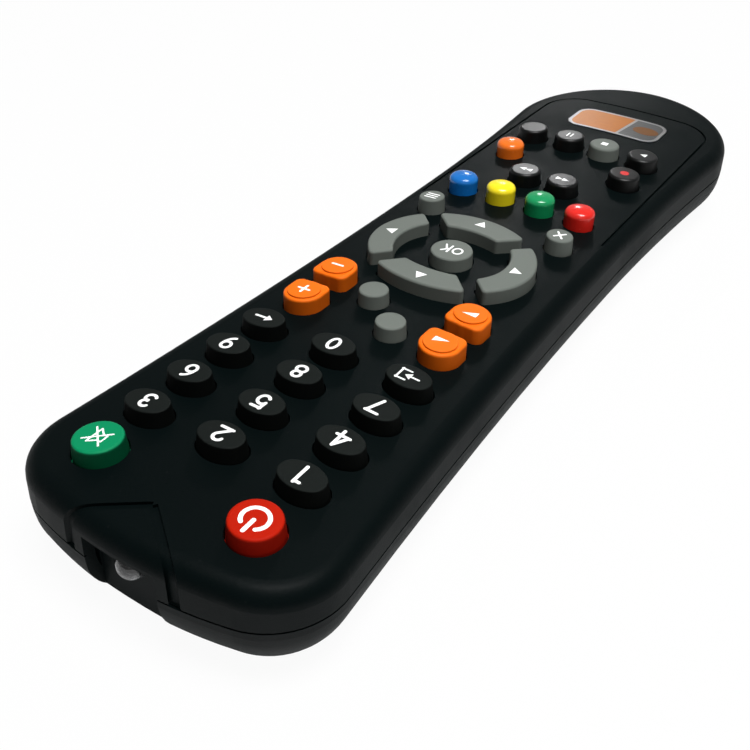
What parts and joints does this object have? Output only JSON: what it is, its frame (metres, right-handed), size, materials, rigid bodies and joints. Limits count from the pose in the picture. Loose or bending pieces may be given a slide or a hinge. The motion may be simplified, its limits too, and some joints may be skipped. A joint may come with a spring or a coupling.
{
  "type": "remote control",
  "caption": "Waisted handheld TV box remote control with oval, round and domed push keys, an arrow ring, an infrared diode in the nose and a hinged battery door.",
  "frame": {"origin": "middle of the remote on the surface that it lies on", "axes": "+X to the right of a user who looks at the keys with the nose pointing away, +Y towards the nose with the infrared diode, +Z out of the keys"},
  "size_m": [0.057, 0.2059, 0.0237],
  "materials": {
    "case_plastic": "finely textured satin black",
    "number_plastic": "satin black with white printed figures",
    "grey_plastic": "satin mid grey",
    "orange_plastic": "satin orange",
    "black_plastic": "glossy black",
    "orange_dome": "glossy orange",
    "power_plastic": "satin red with a white print",
    "mute_plastic": "satin green with a white print",
    "red_dome": "glossy red",
    "green_dome": "glossy green",
    "yellow_dome": "glossy yellow",
    "blue_dome": "glossy blue",
    "board_laminate": "green solder mask",
    "keypad_rubber": "grey silicone",
    "badge_foil": "glossy inlay in a silver rim",
    "diode_lens": "clear epoxy",
    "tinned_wire": "tinned",
    "cell_jacket": "printed jacket",
    "nickel": "nickel plated",
    "chip_resin": "moulded resin",
    "resonator_resin": "dipped resin",
    "capacitor_sleeve": "printed sleeve",
    "ceramic": "ceramic with tinned ends",
    "zinc_steel": "zinc plated",
    "foot_rubber": "black rubber"
  },
  "bodies": {
    "case": {"badge_plate": "badge_foil", "bottom_cover": "case_plastic", "bridge_plate": "nickel", "capacitor": "capacitor_sleeve", "case_screws": "zinc_steel", "cell_left": "cell_jacket", "cell_right": "cell_jacket", "chip_pins": "tinned_wire", "chip_resistors": "ceramic", "circuit_board": "board_laminate", "contact_springs": "nickel", "controller_chip": "chip_resin", "drive_transistor": "chip_resin", "feet": "foot_rubber", "ir_led": "diode_lens", "keypad_sheet": "keypad_rubber", "led_leads": "tinned_wire", "resonator": "resonator_resin", "terminal_plates": "nickel", "top_cover": "case_plastic"},
    "door": {"battery_door": "case_plastic"},
    "key_0_body": {"key_0": "number_plastic"},
    "key_1_body": {"key_1": "number_plastic"},
    "key_2_body": {"key_2": "number_plastic"},
    "key_3_body": {"key_3": "number_plastic"},
    "key_4_body": {"key_4": "number_plastic"},
    "key_5_body": {"key_5": "number_plastic"},
    "key_6_body": {"key_6": "number_plastic"},
    "key_7_body": {"key_7": "number_plastic"},
    "key_8_body": {"key_8": "number_plastic"},
    "key_9_body": {"key_9": "number_plastic"},
    "key_blue_body": {"key_blue": "blue_dome"},
    "key_channel_down_body": {"key_channel_down": "orange_plastic"},
    "key_channel_up_body": {"key_channel_up": "orange_plastic"},
    "key_down_body": {"key_down": "grey_plastic"},
    "key_exit_body": {"key_exit": "grey_plastic"},
    "key_forward_body": {"key_forward": "black_plastic"},
    "key_green_body": {"key_green": "green_dome"},
    "key_guide_body": {"key_guide": "black_plastic"},
    "key_info_body": {"key_info": "orange_dome"},
    "key_language_body": {"key_language": "grey_plastic"},
    "key_left_body": {"key_left": "grey_plastic"},
    "key_menu_body": {"key_menu": "grey_plastic"},
    "key_mute_body": {"key_mute": "mute_plastic"},
    "key_ok_body": {"key_ok": "grey_plastic"},
    "key_pause_body": {"key_pause": "black_plastic"},
    "key_picture_body": {"key_picture": "grey_plastic"},
    "key_play_body": {"key_play": "black_plastic"},
    "key_power_body": {"key_power": "power_plastic"},
    "key_record_body": {"key_record": "black_plastic"},
    "key_red_body": {"key_red": "red_dome"},
    "key_return_body": {"key_return": "number_plastic"},
    "key_rewind_body": {"key_rewind": "black_plastic"},
    "key_right_body": {"key_right": "grey_plastic"},
    "key_source_body": {"key_source": "number_plastic"},
    "key_stop_body": {"key_stop": "grey_plastic"},
    "key_up_body": {"key_up": "grey_plastic"},
    "key_volume_down_body": {"key_volume_down": "orange_plastic"},
    "key_volume_up_body": {"key_volume_up": "orange_plastic"},
    "key_yellow_body": {"key_yellow": "yellow_dome"}
  },
  "joints": [
    {"name": "press_0", "type": "slide", "parent": "case", "child": "key_0_body", "axis": [0, 0, 1], "range_m": [-0.001, 0], "stiffness_N_per_m": 1000, "springref_m": 0.0002},
    {"name": "press_1", "type": "slide", "parent": "case", "child": "key_1_body", "axis": [0, 0, 1], "range_m": [-0.001, 0], "stiffness_N_per_m": 1000, "springref_m": 0.0002},
    {"name": "press_2", "type": "slide", "parent": "case", "child": "key_2_body", "axis": [0, 0, 1], "range_m": [-0.001, 0], "stiffness_N_per_m": 1000, "springref_m": 0.0002},
    {"name": "press_3", "type": "slide", "parent": "case", "child": "key_3_body", "axis": [0, 0, 1], "range_m": [-0.001, 0], "stiffness_N_per_m": 1000, "springref_m": 0.0002},
    {"name": "press_4", "type": "slide", "parent": "case", "child": "key_4_body", "axis": [0, 0, 1], "range_m": [-0.001, 0], "stiffness_N_per_m": 1000, "springref_m": 0.0002},
    {"name": "press_5", "type": "slide", "parent": "case", "child": "key_5_body", "axis": [0, 0, 1], "range_m": [-0.001, 0], "stiffness_N_per_m": 1000, "springref_m": 0.0002},
    {"name": "press_6", "type": "slide", "parent": "case", "child": "key_6_body", "axis": [0, 0, 1], "range_m": [-0.001, 0], "stiffness_N_per_m": 1000, "springref_m": 0.0002},
    {"name": "press_7", "type": "slide", "parent": "case", "child": "key_7_body", "axis": [0, 0, 1], "range_m": [-0.001, 0], "stiffness_N_per_m": 1000, "springref_m": 0.0002},
    {"name": "press_8", "type": "slide", "parent": "case", "child": "key_8_body", "axis": [0, 0, 1], "range_m": [-0.001, 0], "stiffness_N_per_m": 1000, "springref_m": 0.0002},
    {"name": "press_9", "type": "slide", "parent": "case", "child": "key_9_body", "axis": [0, 0, 1], "range_m": [-0.001, 0], "stiffness_N_per_m": 1000, "springref_m": 0.0002},
    {"name": "press_blue", "type": "slide", "parent": "case", "child": "key_blue_body", "axis": [0, 0, 1], "range_m": [-0.001, 0], "stiffness_N_per_m": 1000, "springref_m": 0.0002},
    {"name": "press_channel_down", "type": "slide", "parent": "case", "child": "key_channel_down_body", "axis": [0, 0, 1], "range_m": [-0.001, 0], "stiffness_N_per_m": 1000, "springref_m": 0.0002},
    {"name": "press_channel_up", "type": "slide", "parent": "case", "child": "key_channel_up_body", "axis": [0, 0, 1], "range_m": [-0.001, 0], "stiffness_N_per_m": 1000, "springref_m": 0.0002},
    {"name": "press_down", "type": "slide", "parent": "case", "child": "key_down_body", "axis": [0, 0, 1], "range_m": [-0.001, 0], "stiffness_N_per_m": 1000, "springref_m": 0.0002},
    {"name": "press_exit", "type": "slide", "parent": "case", "child": "key_exit_body", "axis": [0, 0, 1], "range_m": [-0.001, 0], "stiffness_N_per_m": 1000, "springref_m": 0.0002},
    {"name": "press_forward", "type": "slide", "parent": "case", "child": "key_forward_body", "axis": [0, 0, 1], "range_m": [-0.001, 0], "stiffness_N_per_m": 1000, "springref_m": 0.0002},
    {"name": "press_green", "type": "slide", "parent": "case", "child": "key_green_body", "axis": [0, 0, 1], "range_m": [-0.001, 0], "stiffness_N_per_m": 1000, "springref_m": 0.0002},
    {"name": "press_guide", "type": "slide", "parent": "case", "child": "key_guide_body", "axis": [0, 0, 1], "range_m": [-0.001, 0], "stiffness_N_per_m": 1000, "springref_m": 0.0002},
    {"name": "press_info", "type": "slide", "parent": "case", "child": "key_info_body", "axis": [0, 0, 1], "range_m": [-0.001, 0], "stiffness_N_per_m": 1000, "springref_m": 0.0002},
    {"name": "press_language", "type": "slide", "parent": "case", "child": "key_language_body", "axis": [0, 0, 1], "range_m": [-0.001, 0], "stiffness_N_per_m": 1000, "springref_m": 0.0002},
    {"name": "press_left", "type": "slide", "parent": "case", "child": "key_left_body", "axis": [0, 0, 1], "range_m": [-0.001, 0], "stiffness_N_per_m": 1000, "springref_m": 0.0002},
    {"name": "press_menu", "type": "slide", "parent": "case", "child": "key_menu_body", "axis": [0, 0, 1], "range_m": [-0.001, 0], "stiffness_N_per_m": 1000, "springref_m": 0.0002},
    {"name": "press_mute", "type": "slide", "parent": "case", "child": "key_mute_body", "axis": [0, 0, 1], "range_m": [-0.001, 0], "stiffness_N_per_m": 1000, "springref_m": 0.0002},
    {"name": "press_ok", "type": "slide", "parent": "case", "child": "key_ok_body", "axis": [0, 0, 1], "range_m": [-0.001, 0], "stiffness_N_per_m": 1000, "springref_m": 0.0002},
    {"name": "press_pause", "type": "slide", "parent": "case", "child": "key_pause_body", "axis": [0, 0, 1], "range_m": [-0.001, 0], "stiffness_N_per_m": 1000, "springref_m": 0.0002},
    {"name": "press_picture", "type": "slide", "parent": "case", "child": "key_picture_body", "axis": [0, 0, 1], "range_m": [-0.001, 0], "stiffness_N_per_m": 1000, "springref_m": 0.0002},
    {"name": "press_play", "type": "slide", "parent": "case", "child": "key_play_body", "axis": [0, 0, 1], "range_m": [-0.001, 0], "stiffness_N_per_m": 1000, "springref_m": 0.0002},
    {"name": "press_power", "type": "slide", "parent": "case", "child": "key_power_body", "axis": [0, 0, 1], "range_m": [-0.001, 0], "stiffness_N_per_m": 1000, "springref_m": 0.0002},
    {"name": "press_record", "type": "slide", "parent": "case", "child": "key_record_body", "axis": [0, 0, 1], "range_m": [-0.001, 0], "stiffness_N_per_m": 1000, "springref_m": 0.0002},
    {"name": "press_red", "type": "slide", "parent": "case", "child": "key_red_body", "axis": [0, 0, 1], "range_m": [-0.001, 0], "stiffness_N_per_m": 1000, "springref_m": 0.0002},
    {"name": "press_return", "type": "slide", "parent": "case", "child": "key_return_body", "axis": [0, 0, 1], "range_m": [-0.001, 0], "stiffness_N_per_m": 1000, "springref_m": 0.0002},
    {"name": "press_rewind", "type": "slide", "parent": "case", "child": "key_rewind_body", "axis": [0, 0, 1], "range_m": [-0.001, 0], "stiffness_N_per_m": 1000, "springref_m": 0.0002},
    {"name": "press_right", "type": "slide", "parent": "case", "child": "key_right_body", "axis": [0, 0, 1], "range_m": [-0.001, 0], "stiffness_N_per_m": 1000, "springref_m": 0.0002},
    {"name": "press_source", "type": "slide", "parent": "case", "child": "key_source_body", "axis": [0, 0, 1], "range_m": [-0.001, 0], "stiffness_N_per_m": 1000, "springref_m": 0.0002},
    {"name": "press_stop", "type": "slide", "parent": "case", "child": "key_stop_body", "axis": [0, 0, 1], "range_m": [-0.001, 0], "stiffness_N_per_m": 1000, "springref_m": 0.0002},
    {"name": "press_up", "type": "slide", "parent": "case", "child": "key_up_body", "axis": [0, 0, 1], "range_m": [-0.001, 0], "stiffness_N_per_m": 1000, "springref_m": 0.0002},
    {"name": "press_volume_down", "type": "slide", "parent": "case", "child": "key_volume_down_body", "axis": [0, 0, 1], "range_m": [-0.001, 0], "stiffness_N_per_m": 1000, "springref_m": 0.0002},
    {"name": "press_volume_up", "type": "slide", "parent": "case", "child": "key_volume_up_body", "axis": [0, 0, 1], "range_m": [-0.001, 0], "stiffness_N_per_m": 1000, "springref_m": 0.0002},
    {"name": "press_yellow", "type": "slide", "parent": "case", "child": "key_yellow_body", "axis": [0, 0, 1], "range_m": [-0.001, 0], "stiffness_N_per_m": 1000, "springref_m": 0.0002},
    {"name": "door_hinge", "type": "hinge", "parent": "case", "child": "door", "pos_m": [0, -0.0144, 0.0012], "axis": [1, 0, 0], "range_deg": [0, 60]}
  ]
}
